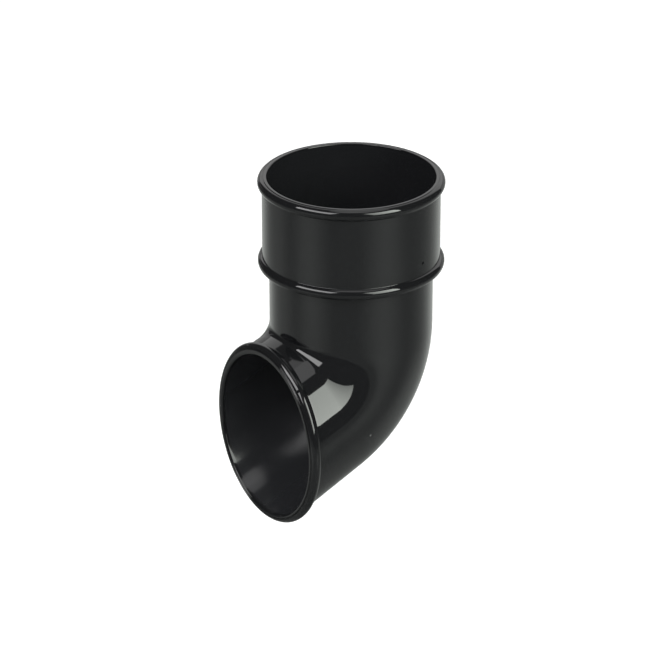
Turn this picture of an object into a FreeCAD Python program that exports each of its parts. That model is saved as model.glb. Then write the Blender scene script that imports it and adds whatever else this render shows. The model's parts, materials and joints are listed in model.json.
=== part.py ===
import FreeCAD, Part
import os

import Sketcher

# Downpipe shoe, moulded as one piece. A socket takes the end of a round downpipe, a bend turns the
# water forwards, and a sloping outlet throws it clear of the wall through an upright mouth. A bead
# runs round the rim, round the foot of the socket and round the mouth.
# Frame: +Z up along the socket, mouth towards -Y, origin on the socket's axis at the stop where the
# pipe's end rests. Lengths are in millimetres and angles in degrees.

NODE = "downpipe_shoe"

SIZES = {
    "socket_bore": 68.6,  # diameter, for a pipe of 68 mm
    "socket_depth": 36.7,  # stop to rim
    "socket_wall": 2.0,
    "lead_in": 0.5,  # rounding of the rim's inner edge
    "stop_ledge": 3.0,  # width of the ring that the pipe's end rests on
    "body_wall": 2.2,
    "body_length": 26.9,  # stop to start of bend
    "throat_radius": 1.8,  # on the inside of the bend
    "bend_angle": 67.5,
    "outlet_lip": 8.7,  # mouth forward of the end of the throat
    "outlet_draft": 1.3,  # widening of the outlet towards the mouth, each side
    "bead_radius": 2.4,
    "bead_projection": 1.8,  # height of a bead above its wall
    "bead_fillet": 0.6,  # where a bead meets its wall
    "mouth_edge": 0.5,  # rounding of the mouth's inner edge
}

# What follows from the driving sizes, each line from the lines above it.
WORKED_OUT = {
    "bore_r": "sizes.socket_bore / 2",
    "socket_r": "bore_r + sizes.socket_wall",
    "crest_r": "socket_r + sizes.bead_projection",
    "bead_r": "crest_r - sizes.bead_radius",
    "bead_half": "sqrt(sizes.bead_projection * (2 * sizes.bead_radius - sizes.bead_projection))",
    "rim_bead_z": "sizes.socket_depth - sizes.bead_radius",
    "rim_root_z": "rim_bead_z - bead_half",
    "ledge_z": "-sizes.bead_radius",
    "body_bore_r": "bore_r - sizes.stop_ledge",
    "body_r": "body_bore_r + sizes.body_wall",
    "bend_z": "-sizes.body_length",
    "bend_r": "body_r + sizes.throat_radius",
    "slope": "90 - sizes.bend_angle",
    "outlet_y": "-bend_r * (1 - cos(sizes.bend_angle))",
    "outlet_z": "bend_z - bend_r * sin(sizes.bend_angle)",
    "throat_y": "outlet_y - body_r * sin(slope)",
    "heel_y": "outlet_y + body_r * sin(slope)",
    "mouth_y": "throat_y - sizes.outlet_lip",
    "crest_y": "mouth_y + sizes.bead_radius",
    "back_y": "crest_y + sizes.bead_radius",
    # The outlet's outside is a cone, so the crest plane cuts it in an ellipse.
    "top_z": "outlet_z + body_r * cos(slope) - (throat_y - crest_y) * tan(slope - sizes.outlet_draft)",
    "bottom_z": "outlet_z - body_r * cos(slope) - (heel_y - crest_y) * tan(slope + sizes.outlet_draft)",
    "mouth_z": "(top_z + bottom_z) / 2",
    "half_height": "(top_z - bottom_z) / 2",
    "top_run": "(outlet_y - crest_y) * cos(slope) - (top_z - outlet_z) * sin(slope)",
    "bottom_run": "(outlet_y - crest_y) * cos(slope) - (bottom_z - outlet_z) * sin(slope)",
    "top_r": "body_r + top_run * tan(sizes.outlet_draft)",
    "bottom_r": "body_r + bottom_run * tan(sizes.outlet_draft)",
    "half_width": "sqrt(top_r * bottom_r)",
    # The mouth bead's section, drawn at the top of the mouth.
    "section_crest_z": "top_z + sizes.bead_projection",
    "section_round_z": "section_crest_z - sizes.bead_radius",
    "section_foot_z": "top_z - sizes.body_wall / cos(slope) - sizes.bead_radius",
    # The outlet is turned long and trimmed at the crest plane.
    "outlet_run": "bottom_run + 2 * sizes.bead_radius",
    "outlet_end_r": "body_r + outlet_run * tan(sizes.outlet_draft)",
    "outlet_bore_end_r": "body_bore_r + outlet_run * tan(sizes.outlet_draft)",
    "trim_right": "2 * half_width",
    "trim_left": "-trim_right",
    "trim_bottom_z": "bottom_z - half_height",
}

ADDING = ["PartDesign::Revolution", "PartDesign::AdditivePipe"]
CUTTING = ["PartDesign::Groove", "PartDesign::Pocket"]
NEAR = 1e-4  # two places closer than this are the same
EDGE_POINTS = 9  # taken along an edge to find where it runs


def make_sheet(name, cells):
    sheet = doc.addObject("Spreadsheet::Sheet", name)
    for row, (alias, text) in enumerate(cells.items(), start=1):
        sheet.set(f"A{row}", alias)
        sheet.set(f"B{row}", text)
        sheet.setAlias(f"B{row}", alias)
    doc.recompute()
    return sheet


def cell(name):
    return ("sizes." if name in SIZES else "worked.") + name


def size(name):
    return float(getattr(sizes if name in SIZES else worked, name))


def new_sketch(name, plane, offsets=None):
    sketch = body.newObject("Sketcher::SketchObject", name)
    support = next(part for part in body.Origin.OriginFeatures if part.Role == plane)
    sketch.AttachmentSupport = (support, "")
    sketch.MapMode = "FlatFace"
    for path, rule in (offsets or {}).items():
        sketch.setExpression("AttachmentOffset." + path, rule)
    return sketch


def bind(sketch, rule, name):
    index = sketch.addConstraint(rule)
    sketch.setExpression(f"Constraints[{index}]", cell(name))


def pin(sketch, side, end, corner):
    # A corner is two size names, across and up, and None keeps it on that axis.
    for kind, name, axis in (("DistanceX", corner[0], -2), ("DistanceY", corner[1], -1)):
        if name is None:
            sketch.addConstraint(Sketcher.Constraint("PointOnObject", side, end, axis))
        else:
            bind(sketch, Sketcher.Constraint(kind, -1, 1, side, end, size(name)), name)


def spot(corner):
    return FreeCAD.Vector(*[0 if name is None else size(name) for name in corner])


def bead_arc(centre, first, last):
    # Clockwise from first to last, so that a bead swells outwards.
    ring = Part.Circle(centre, FreeCAD.Vector(0, 0, 1), size("bead_radius"))
    return Part.ArcOfCircle(ring, ring.parameter(last), ring.parameter(first))


def draw_outline(sketch, corners, beads=None):
    # A closed outline. The side after corner i is straight, or a bead's arc about beads[i].
    beads = beads or {}
    count = len(corners)
    starts = []
    for side in range(count):
        first = spot(corners[side])
        last = spot(corners[(side + 1) % count])
        if side in beads:
            sketch.addGeometry(bead_arc(spot(beads[side]), first, last))
            bind(sketch, Sketcher.Constraint("Radius", side, size("bead_radius")), "bead_radius")
        else:
            sketch.addGeometry(Part.LineSegment(first, last))
        starts.append(1 if sketch.getPoint(side, 1).isEqual(first, NEAR) else 2)
    for side in range(count):
        following = (side + 1) % count
        joint = (side, 3 - starts[side], following, starts[following])
        sketch.addConstraint(Sketcher.Constraint("Coincident", *joint))
        pin(sketch, side, starts[side], corners[side])


def draw_circle(sketch, centre, radius):
    sketch.addGeometry(Part.Circle(spot(centre), FreeCAD.Vector(0, 0, 1), size(radius)))
    pin(sketch, 0, 3, centre)
    bind(sketch, Sketcher.Constraint("Radius", 0, size(radius)), radius)


def draw_ellipse(sketch, centre, half_width, half_height):
    middle = spot(centre)
    top = middle + FreeCAD.Vector(0, size(half_height), 0)
    side = middle + FreeCAD.Vector(size(half_width), 0, 0)
    sketch.addGeometry(Part.Ellipse(top, side, middle))
    sketch.exposeInternalGeometry(0)
    pin(sketch, 0, 3, centre)
    sketch.addConstraint(Sketcher.Constraint("Vertical", 1))
    for line, half in ((1, half_height), (2, half_width)):
        ends = Sketcher.Constraint("Distance", line, 1, line, 2, 2 * size(half))
        index = sketch.addConstraint(ends)
        sketch.setExpression(f"Constraints[{index}]", "2 * " + cell(half))


def turn(kind, name, sketch, axis, angle=None):
    feature = body.newObject("PartDesign::" + kind, name)
    feature.Profile = sketch
    feature.ReferenceAxis = (sketch, [axis])
    if angle:
        feature.setExpression("Angle", cell(angle))
        feature.Reversed = True
    doc.recompute()
    return feature


def round_edges(name, radius, edges):
    carrier = body.Tip
    feature = body.newObject("PartDesign::Fillet", name)
    feature.Base = (carrier, edges)
    feature.setExpression("Radius", cell(radius))
    doc.recompute()
    return feature


def ring_edges(rings):
    # Names of the tip's level circles, each given by its radius and its height.
    found = []
    for index, edge in enumerate(body.Tip.Shape.Edges, start=1):
        if edge.Curve.TypeId != "Part::GeomCircle":
            continue
        for radius, height in rings:
            same_radius = abs(edge.Curve.Radius - radius) < NEAR
            if same_radius and abs(edge.Curve.Center.z - height) < NEAR:
                found.append(f"Edge{index}")
    return found


def cone_edges(low, high):
    # Names of the edges where the outlet's cone meets the mouth bead, between two depths along Y.
    found = []
    shape = body.Tip.Shape
    for index, edge in enumerate(shape.Edges, start=1):
        kinds = {face.Surface.TypeId for face in shape.ancestorsOfType(edge, Part.Face)}
        if kinds != {"Part::GeomCone", "Part::GeomBSplineSurface"}:
            continue
        depths = [point.y for point in edge.discretize(EDGE_POINTS)]
        if min(depths) > low - NEAR and max(depths) < high + NEAR:
            found.append(f"Edge{index}")
    return found


doc = FreeCAD.newDocument("shoe")
sizes = make_sheet("sizes", {alias: str(number) for alias, number in SIZES.items()})
worked = make_sheet("worked", {alias: "=" + rule for alias, rule in WORKED_OUT.items()})
body = doc.addObject("PartDesign::Body", NODE)
body.Label = NODE

# Outside of the socket and the straight body, with the rim bead and the stop bead.
socket_sketch = new_sketch("socket_sketch", "YZ_Plane")
socket_corners = [
    (None, "socket_depth"),
    ("bead_r", "socket_depth"),
    ("socket_r", "rim_root_z"),
    ("socket_r", "bead_half"),
    ("bead_r", "ledge_z"),
    ("body_r", "ledge_z"),
    ("body_r", "bend_z"),
    (None, "bend_z"),
]
draw_outline(socket_sketch, socket_corners, {1: ("bead_r", "rim_bead_z"), 3: ("bead_r", None)})
turn("Revolution", "socket_form", socket_sketch, "V_Axis")
bead_roots = [
    (size("socket_r"), size("rim_root_z")),
    (size("socket_r"), size("bead_half")),
    (size("body_r"), size("ledge_z")),
]
round_edges("bead_roots", "bead_fillet", ring_edges(bead_roots))

# Outside of the bend, turned about a level axis in front of the body.
bend_place = {"Base.y": "-worked.bend_r", "Base.z": "worked.bend_z"}
bend_sketch = new_sketch("bend_sketch", "XY_Plane", bend_place)
draw_circle(bend_sketch, (None, "bend_r"), "body_r")
turn("Revolution", "bend_form", bend_sketch, "H_Axis", "bend_angle")

# Outside of the outlet, a cone on the sloping axis, trimmed upright through the crest of its bead.
outlet_place = {
    "Base.x": "worked.outlet_y",
    "Base.y": "worked.outlet_z",
    "Rotation.Angle": "180 + worked.slope",
}
outlet_sketch = new_sketch("outlet_sketch", "YZ_Plane", outlet_place)
outlet_corners = [
    (None, None),
    ("outlet_run", None),
    ("outlet_run", "outlet_end_r"),
    (None, "body_r"),
]
draw_outline(outlet_sketch, outlet_corners)
turn("Revolution", "outlet_form", outlet_sketch, "H_Axis")

# Trim in front of the crest plane, below the start of the bend.
crest_place = {"Base.z": "-worked.crest_y"}
trim_sketch = new_sketch("trim_sketch", "XZ_Plane", crest_place)
trim_corners = [
    ("trim_left", "bend_z"),
    ("trim_left", "trim_bottom_z"),
    ("trim_right", "trim_bottom_z"),
    ("trim_right", "bend_z"),
]
draw_outline(trim_sketch, trim_corners)
trim = body.newObject("PartDesign::Pocket", "mouth_trim")
trim.Profile = trim_sketch
trim.Type = "ThroughAll"
trim.Reversed = True
doc.recompute()

# Mouth bead, its section swept round the outlet's ellipse.
mouth_sketch = new_sketch("mouth_sketch", "XZ_Plane", crest_place)
draw_ellipse(mouth_sketch, (None, "mouth_z"), "half_width", "half_height")
section_sketch = new_sketch("section_sketch", "YZ_Plane")
section_corners = [
    ("mouth_y", "section_foot_z"),
    ("mouth_y", "section_round_z"),
    ("crest_y", "section_crest_z"),
    ("back_y", "section_round_z"),
    ("back_y", "section_foot_z"),
]
section_centre = ("crest_y", "section_round_z")
draw_outline(section_sketch, section_corners, {1: section_centre, 2: section_centre})
bead = body.newObject("PartDesign::AdditivePipe", "mouth_bead")
bead.Profile = section_sketch
bead.Spine = mouth_sketch
doc.recompute()
round_edges("mouth_bead_root", "bead_fillet", cone_edges(size("crest_y"), size("throat_y")))

# Waterway: socket down to its stop, body, bend and outlet.
bore_sketch = new_sketch("bore_sketch", "YZ_Plane")
bore_corners = [
    (None, "socket_depth"),
    ("bore_r", "socket_depth"),
    ("bore_r", None),
    ("body_bore_r", None),
    ("body_bore_r", "bend_z"),
    (None, "bend_z"),
]
draw_outline(bore_sketch, bore_corners)
turn("Groove", "socket_waterway", bore_sketch, "V_Axis")
bend_bore_sketch = new_sketch("bend_bore_sketch", "XY_Plane", bend_place)
draw_circle(bend_bore_sketch, (None, "bend_r"), "body_bore_r")
turn("Groove", "bend_waterway", bend_bore_sketch, "H_Axis", "bend_angle")
outlet_bore_sketch = new_sketch("outlet_bore_sketch", "YZ_Plane", outlet_place)
outlet_bore_corners = [
    (None, None),
    ("outlet_run", None),
    ("outlet_run", "outlet_bore_end_r"),
    (None, "body_bore_r"),
]
draw_outline(outlet_bore_sketch, outlet_bore_corners)
turn("Groove", "outlet_waterway", outlet_bore_sketch, "H_Axis")

# Inner edges of the rim and the mouth.
rim_edges = ring_edges([(size("bore_r"), size("socket_depth"))])
round_edges("rim_lead_in", "lead_in", rim_edges)
mouth_edges = cone_edges(size("mouth_y"), size("mouth_y"))
round_edges("mouth_inner_edge", "mouth_edge", mouth_edges)

# Every object is sound, and every step adds or takes away what it should, before anything is written.
for item in doc.Objects:
    if "Invalid" in item.State or "Error" in item.State:
        raise RuntimeError(f"{item.Name} failed: {item.State}")
volume = 0.0
for step in body.Group:
    if step.TypeId not in ADDING + CUTTING:
        continue
    gain = step.Shape.Volume - volume
    if (gain < 0) != (step.TypeId in CUTTING):
        raise RuntimeError(f"{step.Name} changed the volume by {gain:.1f} mm3")
    volume = step.Shape.Volume
shape = body.Shape
if shape.isNull() or not shape.isValid() or len(shape.Solids) != 1:
    raise RuntimeError(f"{NODE} isn't one sound solid")

os.makedirs("parts", exist_ok=True)
shape.exportStep(f"parts/{NODE}.step")
print(f"{NODE}: {shape.Volume / 1000:.1f} cm3, mouth {-size('mouth_y'):.1f} mm forward of the axis")
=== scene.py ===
import json
import math

import bpy
from mathutils import Matrix, Vector


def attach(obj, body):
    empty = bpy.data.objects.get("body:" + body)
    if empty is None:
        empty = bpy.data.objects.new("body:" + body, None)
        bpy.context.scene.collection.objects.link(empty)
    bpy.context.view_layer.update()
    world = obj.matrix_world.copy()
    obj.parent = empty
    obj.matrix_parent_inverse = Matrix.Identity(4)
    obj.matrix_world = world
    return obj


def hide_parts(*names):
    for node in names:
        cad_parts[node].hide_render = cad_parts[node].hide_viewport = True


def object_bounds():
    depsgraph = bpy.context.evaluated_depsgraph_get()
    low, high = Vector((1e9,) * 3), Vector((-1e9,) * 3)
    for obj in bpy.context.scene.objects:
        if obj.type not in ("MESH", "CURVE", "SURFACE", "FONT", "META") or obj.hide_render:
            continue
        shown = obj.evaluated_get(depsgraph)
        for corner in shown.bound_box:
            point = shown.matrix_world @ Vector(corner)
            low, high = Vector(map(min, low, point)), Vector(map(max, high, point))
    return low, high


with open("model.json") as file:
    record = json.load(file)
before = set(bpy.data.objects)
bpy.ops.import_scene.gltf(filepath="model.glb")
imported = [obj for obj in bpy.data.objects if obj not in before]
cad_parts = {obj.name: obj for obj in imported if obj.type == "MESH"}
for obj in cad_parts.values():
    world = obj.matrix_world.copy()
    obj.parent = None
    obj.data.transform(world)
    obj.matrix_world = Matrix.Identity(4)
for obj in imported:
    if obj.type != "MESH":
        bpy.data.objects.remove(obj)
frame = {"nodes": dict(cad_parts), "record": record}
cadLow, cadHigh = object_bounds()
mount = frame["record"]["mounts"][0]
print("frame loaded:", ", ".join(frame["nodes"]))

mm = 0.001

# The shoe's sizes, in metres. The bore, the height and the reach come from the frame.
shoe = {
    "boreRadius": mount["dims"]["r_mm"] * mm,
    "rimTop": cadHigh.z,
    "mouthFace": cadLow.y,
    "socketWall": 2.0 * mm,
    "bodyWall": 2.2 * mm,
    "stopLedge": 3.0 * mm,  # ring that the pipe's end rests on
    "leadIn": 0.5 * mm,  # rounding of the rim's inner edge
    "bendStart": -26.9 * mm,
    "throatRadius": 1.8 * mm,  # at the inside of the bend
    "bendAngle": math.radians(67.5),
    "outletDraft": math.radians(1.3),
    "beadRadius": 2.4 * mm,
    "beadProjection": 1.8 * mm,
    "beadFillet": 0.35 * mm,
    "mouthEdge": 0.9 * mm,  # rounding of the mouth's inner edge
    "crestRadius": 1.9 * mm,  # tighter turn at the mouth bead's crest
    "frontStart": -0.95 * mm,  # where the mouth bead's broad front leaves the flat face
    "flatFace": 0.1 * mm,  # least width of that face
    "creaseHalfWidth": 0.45 * mm,  # of the creases between a bead and the edge beside it
    "rimCrease": 36.0 * mm,  # radius
    "rimCreaseDepth": 0.25 * mm,
    "mouthCrease": -0.3 * mm,  # out from the wall
    "mouthCreaseDepth": 0.5 * mm,
    "socketDullness": 0.4,  # the socket keeps more gloss than the waterway, which has 1, and takes less of the inside's painted light
    "sharpAngle": math.radians(40),
    "support": 0.4 * mm,  # from a straight wall's end to its first ring
    "weld": 0.001 * mm,
    "segments": 256,  # round the pipe
    # degrees from ring to ring along an arc
    "beadStep": 9,
    "filletStep": 11,
    "edgeStep": 15,
    # spaces between rings along each stretch
    "rings": {
        "rimCrease": 12,
        "socket": 12,
        "body": 8,
        "bend": 48,
        "outlet": 24,
        "rootFillet": 6,
        "mouthBack": 10,
        "mouthCrest": 6,
        "mouthFront": 28,
        "mouthEdge": 6,
        "outletBore": 20,
        "bendBore": 40,
        "bodyBore": 6,
        "socketBore": 8,
    },
}

# Stretches of the shoe's section, in the order that the skin runs through them.
turned, rootFillet, mouthBack, mouthCrest, mouthFront, mouthEdge = range(6)


class Field:
    # A socket of a node tree that can be added and multiplied like a number.
    def __init__(self, tree, socket):
        self.tree = tree
        self.socket = socket

    def __add__(self, other):
        return mathNode(self.tree, "ADD", self, other)

    def __sub__(self, other):
        return mathNode(self.tree, "SUBTRACT", self, other)

    def __mul__(self, other):
        return mathNode(self.tree, "MULTIPLY", self, other)

    def __truediv__(self, other):
        return mathNode(self.tree, "DIVIDE", self, other)

    def __radd__(self, other):
        return self + other

    def __rmul__(self, other):
        return self * other

    def __rsub__(self, other):
        return mathNode(self.tree, "SUBTRACT", other, self)

    def __neg__(self):
        return mathNode(self.tree, "MULTIPLY", self, -1)


def feed(tree, socket, value):
    if isinstance(value, Field):
        tree.links.new(value.socket, socket)
    else:
        socket.default_value = value


def mathNode(tree, operation, *values):
    node = tree.nodes.new("ShaderNodeMath")
    node.operation = operation
    for socket, value in zip(node.inputs, values):
        feed(tree, socket, value)
    return Field(tree, node.outputs[0])


def sine(angle):
    return mathNode(angle.tree, "SINE", angle)


def cosine(angle):
    return mathNode(angle.tree, "COSINE", angle)


def tangent(angle):
    return mathNode(angle.tree, "TANGENT", angle)


def root(value):
    return mathNode(value.tree, "SQRT", value)


def angleOf(up, across):
    return mathNode(up.tree, "ARCTAN2", up, across)


def vector(x, y, z):
    tree = next(part.tree for part in (x, y, z) if isinstance(part, Field))
    node = tree.nodes.new("ShaderNodeCombineXYZ")
    for socket, value in zip(node.inputs, (x, y, z)):
        feed(tree, socket, value)
    return Field(tree, node.outputs[0])


def vectorSum(first, second):
    node = first.tree.nodes.new("ShaderNodeVectorMath")
    node.operation = "ADD"
    feed(first.tree, node.inputs[0], first)
    feed(first.tree, node.inputs[1], second)
    return Field(first.tree, node.outputs[0])


def turnAboutX(point, centre, angle):
    node = point.tree.nodes.new("ShaderNodeVectorRotate")
    node.rotation_type = "X_AXIS"
    feed(point.tree, node.inputs["Vector"], point)
    feed(point.tree, node.inputs["Center"], centre)
    feed(point.tree, node.inputs["Angle"], angle)
    return Field(point.tree, node.outputs[0])


def pickByStretch(stretch, *values):
    # One value for each stretch of the section, in order.
    node = stretch.tree.nodes.new("GeometryNodeIndexSwitch")
    node.data_type = "FLOAT"
    while len(node.index_switch_items) < len(values):
        node.index_switch_items.new()
    feed(stretch.tree, node.inputs["Index"], stretch)
    for place, value in enumerate(values):
        feed(stretch.tree, node.inputs[str(place)], value)
    return Field(stretch.tree, node.outputs[0])


def shares(count, first=0, last=None):
    # Even shares of a stretch, from 0 at its start to 1 at its end.
    last = count if last is None else last
    return [number / count for number in range(first, last + 1)]


def arcRings(centre, radius, start, end, step):
    # Rings along an arc of the section, from one angle in degrees to another.
    count = max(3, round(abs(end - start) / step))
    rings = []
    for number in range(count + 1):
        angle = math.radians(start + (end - start) * number / count)
        across = centre[0] + radius * math.cos(angle)
        along = centre[1] + radius * math.sin(angle)
        rings.append({"radius": across, "height": along})
    return rings


def straightRings(radius, top, foot, count):
    # Rings down a straight wall, with one close to each end to keep its shading flat.
    drop = math.copysign(shoe["support"], foot - top)
    places = [top + drop + (foot - top - 2 * drop) * number / count for number in range(count + 1)]
    return [{"radius": radius, "height": place} for place in places]


def bendRings(radius, count):
    return [{"radius": radius, "bend": share} for share in shares(count)]


def outletRings(radius, count):
    # The outlet's ends belong to the bend and the mouth.
    return [{"radius": radius, "bend": 1, "run": share} for share in shares(count, 1, count - 1)]


def mouthRings(radius, stretch, count, first=1):
    # Rings along one stretch of the mouth, from the end of the one before.
    return [{"radius": radius, "stretch": stretch, "arc": share} for share in shares(count, first)]


def sectionRings(s):
    # The shoe's section as rings: down the outside, round the mouth, and up the inside again.
    count = s["rings"]
    bead, fillet = s["beadRadius"], s["beadFillet"]
    beadStep, filletStep, edgeStep = s["beadStep"], s["filletStep"], s["edgeStep"]
    socketRadius = s["boreRadius"] + s["socketWall"]
    bodyBore = s["boreRadius"] - s["stopLedge"]
    bodyRadius = bodyBore + s["bodyWall"]
    beadCentre = socketRadius + s["beadProjection"] - bead
    rimBead = s["rimTop"] - bead
    filletCentre = socketRadius + fillet
    filletAcross = filletCentre - beadCentre
    filletAlong = math.sqrt((bead + fillet) ** 2 - filletAcross ** 2)
    rootAngle = math.degrees(math.atan2(filletAlong, filletAcross))
    rimFoot = rimBead - filletAlong
    neck = (bodyRadius + fillet, -bead - fillet)
    leadCentre = (s["boreRadius"] + s["leadIn"], s["rimTop"] - s["leadIn"])

    rings = arcRings(leadCentre, s["leadIn"], 180, 90, edgeStep)
    for share in shares(count["rimCrease"]):
        across = s["rimCrease"] + s["creaseHalfWidth"] * (2 * share - 1)
        pastCentre = max(across - beadCentre, 0)
        top = rimBead + math.sqrt(bead ** 2 - pastCentre ** 2)
        dip = s["rimCreaseDepth"] * (0.5 - 0.5 * math.cos(math.tau * share))
        rings.append({"radius": across, "height": top - dip})
    creaseEnd = math.degrees(math.acos(pastCentre / bead))
    rings += arcRings((beadCentre, rimBead), bead, creaseEnd, -rootAngle, beadStep)[1:]
    rings += arcRings((filletCentre, rimFoot), fillet, 180 - rootAngle, 180, filletStep)[1:]
    rings += straightRings(socketRadius, rimFoot, filletAlong, count["socket"])
    rings += arcRings((filletCentre, filletAlong), fillet, 180, 180 + rootAngle, filletStep)
    rings += arcRings((beadCentre, 0), bead, rootAngle, -90, beadStep)[1:]
    rings += arcRings(neck, fillet, 90, 180, edgeStep)
    rings += straightRings(bodyRadius, neck[1], s["bendStart"], count["body"])
    rings += bendRings(bodyRadius, count["bend"])
    rings += outletRings(bodyRadius, count["outlet"])
    rings += mouthRings(bodyRadius, rootFillet, count["rootFillet"], 0)
    rings += mouthRings(bodyRadius, mouthBack, count["mouthBack"])
    rings += mouthRings(bodyRadius, mouthCrest, count["mouthCrest"])
    rings += mouthRings(bodyRadius, mouthFront, count["mouthFront"])
    rings += mouthRings(bodyBore, mouthEdge, count["mouthEdge"], 0)

    inner = outletRings(bodyBore, count["outletBore"])[::-1]
    inner += bendRings(bodyBore, count["bendBore"])[::-1]
    inner += straightRings(bodyBore, s["bendStart"], 0, count["bodyBore"])
    inner += [{"radius": bodyBore, "height": 0}, {"radius": s["boreRadius"], "height": 0}]
    inner += straightRings(s["boreRadius"], 0, leadCentre[1], count["socketBore"])
    # The inside mark brings both the duller gloss and the painted light of the bore.
    for ring in inner:
        inSocket = ring.get("height", -1) >= 0
        ring["inside"] = s["socketDullness"] if inSocket else 1
    return rings + inner, bodyRadius, bodyBore


def sectionMesh(rings):
    # One point for each ring, which carries the ring's place in named attributes.
    mesh = bpy.data.meshes.new("shoeSection")
    mesh.vertices.add(len(rings))
    for name in ("radius", "height", "bend", "run", "arc", "inside"):
        missing = shoe["bendStart"] if name == "height" else 0
        values = [float(ring.get(name, missing)) for ring in rings]
        mesh.attributes.new(name, "FLOAT", "POINT").data.foreach_set("value", values)
    stretches = [ring.get("stretch", turned) for ring in rings]
    mesh.attributes.new("stretch", "INT", "POINT").data.foreach_set("value", stretches)
    return mesh


def addInputs(tree, inputs):
    # Named inputs of the tree. Returns each one's identifier.
    identifiers = {}
    kinds = {int: "NodeSocketInt", float: "NodeSocketFloat"}
    for name, value in inputs.items():
        kind = kinds.get(type(value), "NodeSocketMaterial")
        socket = tree.interface.new_socket(name, in_out="INPUT", socket_type=kind)
        identifiers[name] = socket.identifier
    return identifiers


def shoeTree(inputs):
    tree = bpy.data.node_groups.new("shoeSkin", "GeometryNodeTree")
    tree.interface.new_socket("Section", in_out="INPUT", socket_type="NodeSocketGeometry")
    identifiers = addInputs(tree, inputs)
    tree.interface.new_socket("Skin", in_out="OUTPUT", socket_type="NodeSocketGeometry")
    entry = tree.nodes.new("NodeGroupInput")
    section = Field(tree, entry.outputs["Section"])
    given = {name: Field(tree, entry.outputs[name]) for name in inputs}
    bodyRadius, bodyBore = given["Body radius"], given["Body bore"]
    bendRadius, bendAngle = given["Bend radius"], given["Bend angle"]
    bead, projection, fillet = given["Bead radius"], given["Bead projection"], given["Root fillet"]
    face, edge, crestRadius = given["Mouth face"], given["Mouth edge"], given["Crest radius"]

    # A grid of rings and segments, whose last row and column fall on the first.
    grid = tree.nodes.new("GeometryNodeMeshGrid")
    feed(tree, grid.inputs["Vertices X"], given["Rings"] + 1)
    feed(tree, grid.inputs["Vertices Y"], given["Segments"] + 1)
    index = Field(tree, tree.nodes.new("GeometryNodeInputIndex").outputs[0])
    column = mathNode(tree, "FLOOR", (index + 0.5) / (given["Segments"] + 1))
    row = index - column * (given["Segments"] + 1)
    ring = mathNode(tree, "FLOORED_MODULO", column, given["Rings"])
    segment = mathNode(tree, "FLOORED_MODULO", row, given["Segments"])
    turn = segment / given["Segments"] * math.tau

    def ringValue(name, kind="FLOAT"):
        named = tree.nodes.new("GeometryNodeInputNamedAttribute")
        named.data_type = kind
        named.inputs["Name"].default_value = name
        sample = tree.nodes.new("GeometryNodeSampleIndex")
        sample.data_type = kind
        feed(tree, sample.inputs["Geometry"], section)
        tree.links.new(named.outputs["Attribute"], sample.inputs["Value"])
        feed(tree, sample.inputs["Index"], ring)
        return Field(tree, sample.outputs["Value"])

    radius = ringValue("radius")
    height = ringValue("height")
    bendShare = ringValue("bend")
    runShare = ringValue("run")
    arcShare = ringValue("arc")
    stretch = ringValue("stretch", "INT")

    # The outlet's cone meets the upright mouth at a tilt that changes round the pipe.
    front, side = cosine(turn), sine(turn)
    bendSine, bendCosine = sine(bendAngle), cosine(bendAngle)
    draftSine, draftCosine = sine(given["Draft"]), cosine(given["Draft"])
    widening = tangent(given["Draft"])
    normalX = draftCosine * side
    normalY = draftSine * bendSine - draftCosine * front * bendCosine
    normalZ = draftCosine * front * bendSine + draftSine * bendCosine
    upright = root(1 - normalY * normalY)
    outwardX, outwardZ = normalX / upright, normalZ / upright
    tilt = -normalY / upright
    tiltLength = root(tilt * tilt + 1)
    tiltAngle = angleOf(tilt, 1.0)

    # The mouth bead and its fillet, in the plane across the bead.
    # Places in it are measured out from the cone and back from the crest.
    sunk = bead - projection
    lift = fillet * tiltLength + sunk
    reach = bead + fillet
    spread = tiltLength * tiltLength
    inside = tilt * tilt * lift * lift - spread * (lift * lift - reach * reach)
    filletBack = (root(inside) - tilt * lift) / spread
    filletOut = tilt * filletBack + fillet * tiltLength
    beadAngle = angleOf(filletBack, filletOut + sunk)
    edgeOut = edge * (tilt + tiltLength)

    # The bead's front: a broad arc from the face, then a tighter one over the crest.
    faceStart = edgeOut - tilt * bead - (bodyRadius - bodyBore) * tiltLength
    frontOut = mathNode(tree, "MAXIMUM", given["Front start"], faceStart + given["Flat face"])
    crestOut = projection - crestRadius
    reachOut = crestOut - frontOut
    tall = bead * bead - crestRadius * crestRadius
    frontRadius = (reachOut * reachOut + tall) / ((bead - crestRadius) * 2)
    frontBack = frontRadius - bead
    frontAngle = angleOf(reachOut, frontBack) - math.pi / 2

    # Each stretch of the mouth is an arc.
    filletSweep = math.pi - tiltAngle + arcShare * (beadAngle + tiltAngle)
    backSweep = beadAngle * (1 - arcShare)
    crestSweep = frontAngle * arcShare
    frontSweep = frontAngle - arcShare * (frontAngle + math.pi / 2)
    edgeSweep = -math.pi / 2 - arcShare * (tiltAngle + math.pi / 2)
    sweep = pickByStretch(stretch, 0.0, filletSweep, backSweep, crestSweep, frontSweep, edgeSweep)
    arcRadius = pickByStretch(stretch, 0.0, fillet, bead, crestRadius, frontRadius, edge)
    centreOut = pickByStretch(stretch, 0.0, filletOut, -sunk, crestOut, frontOut, edgeOut)
    centreBack = pickByStretch(stretch, 0.0, filletBack, 0.0, 0.0, frontBack, edge)
    out = centreOut + arcRadius * cosine(sweep)
    back = centreBack + arcRadius * sine(sweep)

    # A shallow crease between the bead and the mouth's edge.
    aside = mathNode(tree, "ABSOLUTE", (out - given["Crease place"]) / given["Crease half width"])
    dip = 0.5 + 0.5 * cosine(mathNode(tree, "MINIMUM", aside, 1.0) * math.pi)
    onFront = pickByStretch(stretch, 0.0, 0.0, 0.0, 0.0, 1.0, 0.0)
    back = back + dip * given["Crease depth"] * onFront

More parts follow.
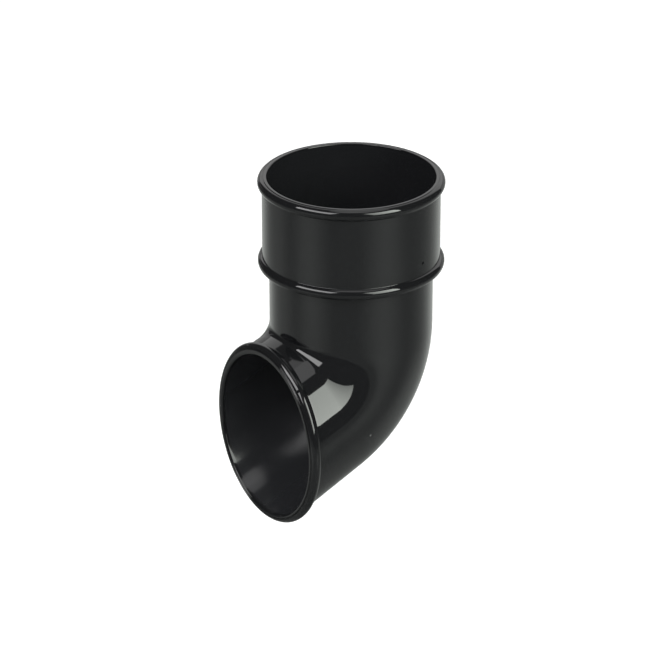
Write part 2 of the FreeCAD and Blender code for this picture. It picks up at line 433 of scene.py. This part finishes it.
    # How far each line of the cone runs from the bend to its end at the mouth.
    crest = face + bead
    coneEnd = crest + filletBack + fillet * tilt / tiltLength
    boreEnd = face + edge * (tilt / tiltLength + 1)
    isBore = mathNode(tree, "LESS_THAN", radius, (bodyRadius + bodyBore) / 2)
    wallEnd = coneEnd + isBore * (boreEnd - coneEnd)
    endPlane = pickByStretch(stretch, wallEnd, crest, crest, crest, crest, face)
    bendReach = bendRadius * (1 - bendCosine)
    toEnd = endPlane + bendReach + radius * front * bendCosine
    run = -toEnd / (bendSine + widening * front * bendCosine)
    atMouth = mathNode(tree, "GREATER_THAN", stretch, turned + 0.5)
    runNow = run * (runShare + atMouth)
    radiusNow = radius + runNow * widening
    angleNow = bendAngle * mathNode(tree, "MAXIMUM", bendShare, atMouth)

    straight = vector(radiusNow * side, -radiusNow * front, height - runNow)
    bendCentre = vector(0.0, -bendRadius, given["Bend start"])
    bent = turnAboutX(straight, bendCentre, -angleNow)
    place = vectorSum(bent, vector(out * outwardX, back, out * outwardZ))

    mark = tree.nodes.new("GeometryNodeStoreNamedAttribute")
    tree.links.new(grid.outputs["Mesh"], mark.inputs["Geometry"])
    mark.inputs["Name"].default_value = "inside"
    feed(tree, mark.inputs["Value"], ringValue("inside"))
    setPosition = tree.nodes.new("GeometryNodeSetPosition")
    feed(tree, setPosition.inputs["Position"], place)
    weld = tree.nodes.new("GeometryNodeMergeByDistance")
    weld.inputs["Distance"].default_value = shoe["weld"]
    smooth = tree.nodes.new("GeometryNodeSetShadeSmooth")
    realize = tree.nodes.new("GeometryNodeRealizeInstances")
    finish = tree.nodes.new("GeometryNodeSetMaterial")
    feed(tree, finish.inputs["Material"], given["Finish"])
    exitNode = tree.nodes.new("NodeGroupOutput")
    chain = [mark, setPosition, weld, smooth, realize, finish, exitNode]
    for first, second in zip(chain, chain[1:]):
        tree.links.new(first.outputs[0], second.inputs[0])
    return tree, identifiers


def makeShoe(finish):
    rings, bodyRadius, bodyBore = sectionRings(shoe)
    inputs = {
        "Rings": len(rings),
        "Segments": shoe["segments"],
        "Bend start": shoe["bendStart"],
        "Bend radius": bodyRadius + shoe["throatRadius"],
        "Bend angle": shoe["bendAngle"],
        "Draft": shoe["outletDraft"],
        "Body radius": bodyRadius,
        "Body bore": bodyBore,
        "Mouth face": shoe["mouthFace"],
        "Mouth edge": shoe["mouthEdge"],
        "Bead radius": shoe["beadRadius"],
        "Bead projection": shoe["beadProjection"],
        "Crest radius": shoe["crestRadius"],
        "Front start": shoe["frontStart"],
        "Flat face": shoe["flatFace"],
        "Crease place": shoe["mouthCrease"],
        "Crease depth": shoe["mouthCreaseDepth"],
        "Crease half width": shoe["creaseHalfWidth"],
        "Root fillet": shoe["beadFillet"],
        "Finish": finish,
    }
    tree, identifiers = shoeTree(inputs)
    carrier = bpy.data.objects.new("shoeCarrier", sectionMesh(rings))
    bpy.context.scene.collection.objects.link(carrier)
    skin = carrier.modifiers.new("skin", "NODES")
    skin.node_group = tree
    for name, value in inputs.items():
        skin[identifiers[name]] = value
    evaluated = carrier.evaluated_get(bpy.context.evaluated_depsgraph_get())
    mesh = bpy.data.meshes.new_from_object(evaluated)
    bpy.data.objects.remove(carrier)
    mesh.name = "shoe"
    mesh.set_sharp_from_angle(angle=shoe["sharpAngle"])
    piece = bpy.data.objects.new("shoe", mesh)
    bpy.context.scene.collection.objects.link(piece)
    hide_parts("downpipe_shoe")
    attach(piece, "root")
    points, faces = len(mesh.vertices), len(mesh.polygons)
    print("shoe made:", len(rings), "rings,", points, "points,", faces, "faces")


# Black PVC, glossy outside and duller inside, where the mould's core left it. The inside's colour is
# painted lighter than the outside: painted light in the dim bore.
pvc = {
    "outside": (0.0054, 0.0056, 0.0062),
    # painted light: the same black, lifted inside the bore to stand in for light that reaches it
    "inside": (0.0195, 0.0202, 0.0222),
    "pale": (0.12, 0.12, 0.12),  # grain of dust
    "insideStop": 0.5,  # the inside's place on the ramp of colours
    "insideTone": 0.46,  # how far along that ramp the inside leads, which sets its painted light
    "cloudTone": 0.08,  # and the clouds
    "clouds": {"scale": 55, "detail": 4},
    "ior": 1.53,
    "shine": 0.5,  # specular level away from the specks
    "roughness": (0.045, 0.15),  # outside and inside
    "dustRoughness": 0.4,  # added on the grain of dust
    "scuff": 0.03,  # added where the gloss is rubbed
    "rubbing": {"scale": 90, "detail": 5, "stretch": (1, 1, 0.35)},
    "rubbedRange": (0.45, 0.75),  # of that noise, from untouched to rubbed
    "ripple": 0.0016,  # height of the flow lines, in millimetres
    "flowLines": {"scale": 420, "detail": 2, "stretch": (1, 1, 0.4)},
    "dust": (Vector((32.61, -13.04, -63.64)) * mm, 0.6 * mm, 0.25 * mm),  # place, radius and core
    # dull specks: place, radius and core
    "specks": (
        (Vector((34.58, 11.04, 7.71)) * mm, 0.85 * mm, 0.5 * mm),
        (Vector((23.38, -42.3, -39.35)) * mm, 0.85 * mm, 0.45 * mm),
    ),
}


def mapRange(value, low, high, toLow, toHigh, smooth=False):
    tree = value.tree
    node = tree.nodes.new("ShaderNodeMapRange")
    if smooth:
        node.interpolation_type = "SMOOTHSTEP"
    feed(tree, node.inputs["Value"], value)
    limits = {"From Min": low, "From Max": high, "To Min": toLow, "To Max": toHigh}
    for name, number in limits.items():
        node.inputs[name].default_value = number
    return Field(tree, node.outputs["Result"])


def spot(place, centre, radius, core=0.0):
    # 1 inside the core, falling smoothly to 0 at the radius.
    node = place.tree.nodes.new("ShaderNodeVectorMath")
    node.operation = "DISTANCE"
    feed(place.tree, node.inputs[0], place)
    node.inputs[1].default_value = centre
    return mapRange(Field(place.tree, node.outputs["Value"]), radius, core, 0, 1, smooth=True)


def noise(place, scale, detail, stretch=(1, 1, 1)):
    tree = place.tree
    mapping = tree.nodes.new("ShaderNodeMapping")
    feed(tree, mapping.inputs["Vector"], place)
    mapping.inputs["Scale"].default_value = stretch
    node = tree.nodes.new("ShaderNodeTexNoise")
    tree.links.new(mapping.outputs[0], node.inputs["Vector"])
    node.inputs["Scale"].default_value = scale
    node.inputs["Detail"].default_value = detail
    return Field(tree, node.outputs["Fac"])


def blackPvc():
    material = bpy.data.materials.new("blackPvc")
    material.use_nodes = True
    tree = material.node_tree
    shader = tree.nodes["Principled BSDF"]
    shader.inputs["IOR"].default_value = pvc["ior"]
    place = Field(tree, tree.nodes.new("ShaderNodeTexCoord").outputs["Object"])
    mark = tree.nodes.new("ShaderNodeAttribute")
    mark.attribute_name = "inside"
    inside = Field(tree, mark.outputs["Fac"])
    dust = spot(place, *pvc["dust"])

    # Colour: outside, the inside painted lighter as painted light in the bore, and dust along one
    # ramp, with faint clouds in the black.
    clouds = noise(place, **pvc["clouds"])
    tone = tree.nodes.new("ShaderNodeValToRGB")
    feed(tree, tone.inputs["Fac"], inside * pvc["insideTone"] + clouds * pvc["cloudTone"] + dust)
    ramp = tone.color_ramp.elements
    ramp[0].color = (*pvc["outside"], 1)
    ramp[1].color = (*pvc["pale"], 1)
    ramp.new(pvc["insideStop"]).color = (*pvc["inside"], 1)
    tree.links.new(tone.outputs["Color"], shader.inputs["Base Color"])

    # Gloss: rubbed a little duller in upright streaks.
    rubbed = mapRange(noise(place, **pvc["rubbing"]), *pvc["rubbedRange"], 0, pvc["scuff"])
    gloss = mapRange(inside, 0, 1, *pvc["roughness"])
    feed(tree, shader.inputs["Roughness"], gloss + rubbed + dust * pvc["dustRoughness"])

    # Specks have lost their shine.
    shine = pvc["shine"]
    for speck in pvc["specks"]:
        shine = shine - spot(place, *speck) * pvc["shine"]
    feed(tree, shader.inputs["Specular IOR Level"], mathNode(tree, "MAXIMUM", shine, 0.0))

    # Relief: flow lines of the moulding.
    relief = tree.nodes.new("ShaderNodeBump")
    relief.inputs["Strength"].default_value = 1
    relief.inputs["Distance"].default_value = mm
    feed(tree, relief.inputs["Height"], noise(place, **pvc["flowLines"]) * pvc["ripple"])
    tree.links.new(relief.outputs["Normal"], shader.inputs["Normal"])
    print("black PVC mixed")
    return material


# Camera at the photo's viewing angle: the image is square, 665 pixels each way.
view = {
    "azimuth": 55.612,
    "elevation": 25.059,
    "distance": 1.5,
    "centre": Vector((0, -20, -33.3)) * mm,  # the angles and the distance are taken from here
    "aim": Vector((3.33, -11.55, -28.97)) * mm,  # falls on the middle of the image
    "lens": 198.4,
    "sensor": 36,
}


def directionOf(azimuth, elevation):
    # Degrees: azimuth 0 is the side that the mouth faces, and 90 is towards +X.
    azimuth, elevation = math.radians(azimuth), math.radians(elevation)
    level = math.cos(elevation)
    return Vector((math.sin(azimuth) * level, -math.cos(azimuth) * level, math.sin(elevation)))


def makeCamera():
    place = view["centre"] + directionOf(view["azimuth"], view["elevation"]) * view["distance"]
    data = bpy.data.cameras.new("camera")
    data.lens = view["lens"]
    data.sensor_width = view["sensor"]
    camera = bpy.data.objects.new("camera", data)
    camera.location = place
    camera.rotation_euler = (view["aim"] - place).to_track_quat("-Z", "Y").to_euler()
    bpy.context.scene.collection.objects.link(camera)
    bpy.context.scene.camera = camera
    print("camera placed")


# Two softboxes, placed by the direction in which the shoe sees them. The glow is their brightness.
softboxes = {
    "rightSoftbox": {
        "azimuth": 96.5,
        "elevation": 28.4,
        "width": 2.55,
        "height": 2.88,
        "roll": 6.0,
        "glow": (3.25, 9.5),  # from one side to the other
        "tint": (0.95, 1.0, 0.93),
    },
    "leftSoftbox": {
        "azimuth": 5.2,
        "elevation": 40.2,
        "width": 3.16,
        "height": 1.77,
        "roll": 2.1,
        "glow": (6.2, 5.2),
        "tint": (1.0, 1.0, 1.0),
    },
}
softboxDistance = 4.0


def makeSoftbox(name, box):
    outward = directionOf(box["azimuth"], box["elevation"])
    level = directionOf(box["azimuth"] + 90, 0)
    up = outward.cross(level)
    roll = math.radians(box["roll"])
    along = level * math.cos(roll) + up * math.sin(roll)
    across = up * math.cos(roll) - level * math.sin(roll)
    data = bpy.data.lights.new(name, "AREA")
    data.shape = "RECTANGLE"
    data.size = box["width"]
    data.size_y = box["height"]
    data.energy = math.pi * box["width"] * box["height"]
    data.color = box["tint"]
    data.use_nodes = True
    tree = data.node_tree
    sheet = tree.nodes.new("ShaderNodeNewGeometry")
    split = tree.nodes.new("ShaderNodeSeparateXYZ")
    tree.links.new(sheet.outputs["Parametric"], split.inputs[0])
    fade = mapRange(Field(tree, split.outputs["X"]), 0, 1, *box["glow"])
    feed(tree, tree.nodes["Emission"].inputs["Strength"], fade)
    lamp = bpy.data.objects.new(name, data)
    lamp.location = view["aim"] + outward * softboxDistance
    lamp.rotation_euler = Matrix((along, across, outward)).transposed().to_euler()
    lamp.visible_camera = False
    bpy.context.scene.collection.objects.link(lamp)


# The studio round the shoe: a white floor well below it, and a white world.
studio = {
    "floorHeight": -0.55,
    "floorHalfWidth": 8.0,
    "floorColour": 0.8,
    "floorLift": 0.5,  # added for the camera, so that the lit floor reads as white
    "worldLight": 0.35,
}


def backgroundShare(tree):
    # 1 for the rays that should find a white background, and 0 for the light that falls on the shoe.
    rays = tree.nodes.new("ShaderNodeLightPath")
    share = Field(tree, rays.outputs["Is Camera Ray"])
    for name in ("Is Glossy Ray", "Is Transmission Ray"):
        share = mathNode(tree, "MAXIMUM", share, Field(tree, rays.outputs[name]))
    return share


def gridMesh(name, rows):
    # A sheet through rows of points.
    width = len(rows[0])
    points = [point for row in rows for point in row]
    faces = []
    for low in range(len(rows) - 1):
        for left in range(width - 1):
            corner = low * width + left
            faces.append((corner, corner + 1, corner + width + 1, corner + width))
    mesh = bpy.data.meshes.new(name)
    mesh.from_pydata(points, [], faces)
    return mesh


def stagePiece(name, rows, material):
    mesh = gridMesh(name, rows)
    mesh.materials.append(material)
    piece = bpy.data.objects.new(name, mesh)
    bpy.context.scene.collection.objects.link(piece)
    return piece


def emptyMaterial(name):
    # A material with nothing but its output.
    material = bpy.data.materials.new(name)
    material.use_nodes = True
    tree = material.node_tree
    tree.nodes.clear()
    exitNode = tree.nodes.new("ShaderNodeOutputMaterial")
    return material, tree, exitNode.inputs["Surface"]


def makeFloor():
    material, tree, surface = emptyMaterial("whiteFloor")
    paint = tree.nodes.new("ShaderNodeBsdfDiffuse")
    paint.inputs["Color"].default_value = (studio["floorColour"],) * 3 + (1,)
    lift = tree.nodes.new("ShaderNodeEmission")
    feed(tree, lift.inputs["Strength"], backgroundShare(tree) * studio["floorLift"])
    both = tree.nodes.new("ShaderNodeAddShader")
    tree.links.new(paint.outputs[0], both.inputs[0])
    tree.links.new(lift.outputs[0], both.inputs[1])
    tree.links.new(both.outputs[0], surface)
    half, height = studio["floorHalfWidth"], studio["floorHeight"]
    rows = [[(x, y, height) for x in (-half, half)] for y in (-half, half)]
    stagePiece("floor", rows, material)


# Cards that only the shoe's gloss shows. Each turns from one azimuth to another.
# Its rows are pairs of elevation and reach.
cards = {
    # dark side of the room, from the left round to the right
    "flag": {
        "turn": (-95, 190),
        "rows": ((-10, 2.8), (5, 5.5), (20, 5.5), (35, 5.5), (50, 5.5), (67, 5.5)),
        "glow": 0.08,
    },
    # low grey wall behind the shoe
    "wall": {
        "turn": (190, 282),
        "rows": ((-10, 2.8), (2, 5.5), (14, 5.5)),
        "glow": 0.45,
    },
    # the dark side reaches higher on the left
    "visor": {
        "turn": (-95, 12),
        "rows": ((66, 5.45), (71, 5.45), (77, 5.45)),
        "glow": 0.08,
    },
    # overhead light
    "ceiling": {
        "turn": (12, 118),
        "rows": ((67, 5.4), (74, 5.4), (82, 5.4), (89, 5.4)),
        "glow": 1.3,
    },
}
cardSteps = 72

# Grey table under the shoe, a card too, level at its drop below the aim.
table = {
    "turn": (-180, 180),
    "rows": ((-90, 0.5), (-60, 0.577), (-40, 0.778), (-25, 1.183), (-15, 1.932), (-10, 2.879)),
    "glow": 0.27,
    "colour": (0.96, 1.0, 0.96),
    "drop": 0.5,
    # light that falls on the table, and the shoe's shade on it: azimuth, reach, radius and glow
    "pools": (
        (100, 1.25, 0.85, 0.38),
        (0, 1.25, 0.75, 0.36),
        (-50, 1.2, 0.65, 0.15),
        (-98, 1.2, 0.9, 0.38),
        (-150, 1.2, 0.8, 0.26),
        (195, 1.2, 1.0, 0.26),
        (163, 0.65, 0.45, 0.15),
        (0, 0.0, 0.55, -0.12),
    ),
}


def makeCard(name, card):
    # Returns the tree of the card's material and its emission, for more light on it.
    material, tree, surface = emptyMaterial(name)
    light = tree.nodes.new("ShaderNodeEmission")
    light.inputs["Strength"].default_value = card["glow"]
    tree.links.new(light.outputs[0], surface)
    first, last = card["turn"]
    turns = [first + (last - first) * step / cardSteps for step in range(cardSteps + 1)]
    rows = []
    for elevation, reach in card["rows"]:
        rows.append([view["aim"] + directionOf(turn, elevation) * reach for turn in turns])
    piece = stagePiece(name, rows, material)
    piece.visible_camera = False
    piece.visible_diffuse = False
    piece.visible_transmission = False
    piece.visible_shadow = False
    return tree, light


def makeTable():
    tree, light = makeCard("table", table)
    light.inputs["Color"].default_value = (*table["colour"], 1)
    place = Field(tree, tree.nodes.new("ShaderNodeTexCoord").outputs["Object"])
    total = table["glow"]
    for azimuth, reach, radius, glow in table["pools"]:
        centre = directionOf(azimuth, 0) * reach
        centre.z = view["aim"].z - table["drop"]
        total = spot(place, centre, radius) * glow + total
    feed(tree, light.inputs["Strength"], total)


def makeWorld():
    world = bpy.data.worlds.new("studio")
    world.use_nodes = True
    tree = world.node_tree
    sky = tree.nodes["Background"]
    sky.inputs["Color"].default_value = (1, 1, 1, 1)
    share = backgroundShare(tree)
    feed(tree, sky.inputs["Strength"], share * (1 - studio["worldLight"]) + studio["worldLight"])
    bpy.context.scene.world = world


makeShoe(blackPvc())
makeCamera()
for name, box in softboxes.items():
    makeSoftbox(name, box)
makeFloor()
for name, card in cards.items():
    makeCard(name, card)
makeTable()
makeWorld()
bpy.context.scene.view_settings.view_transform = "Standard"
print("studio set")
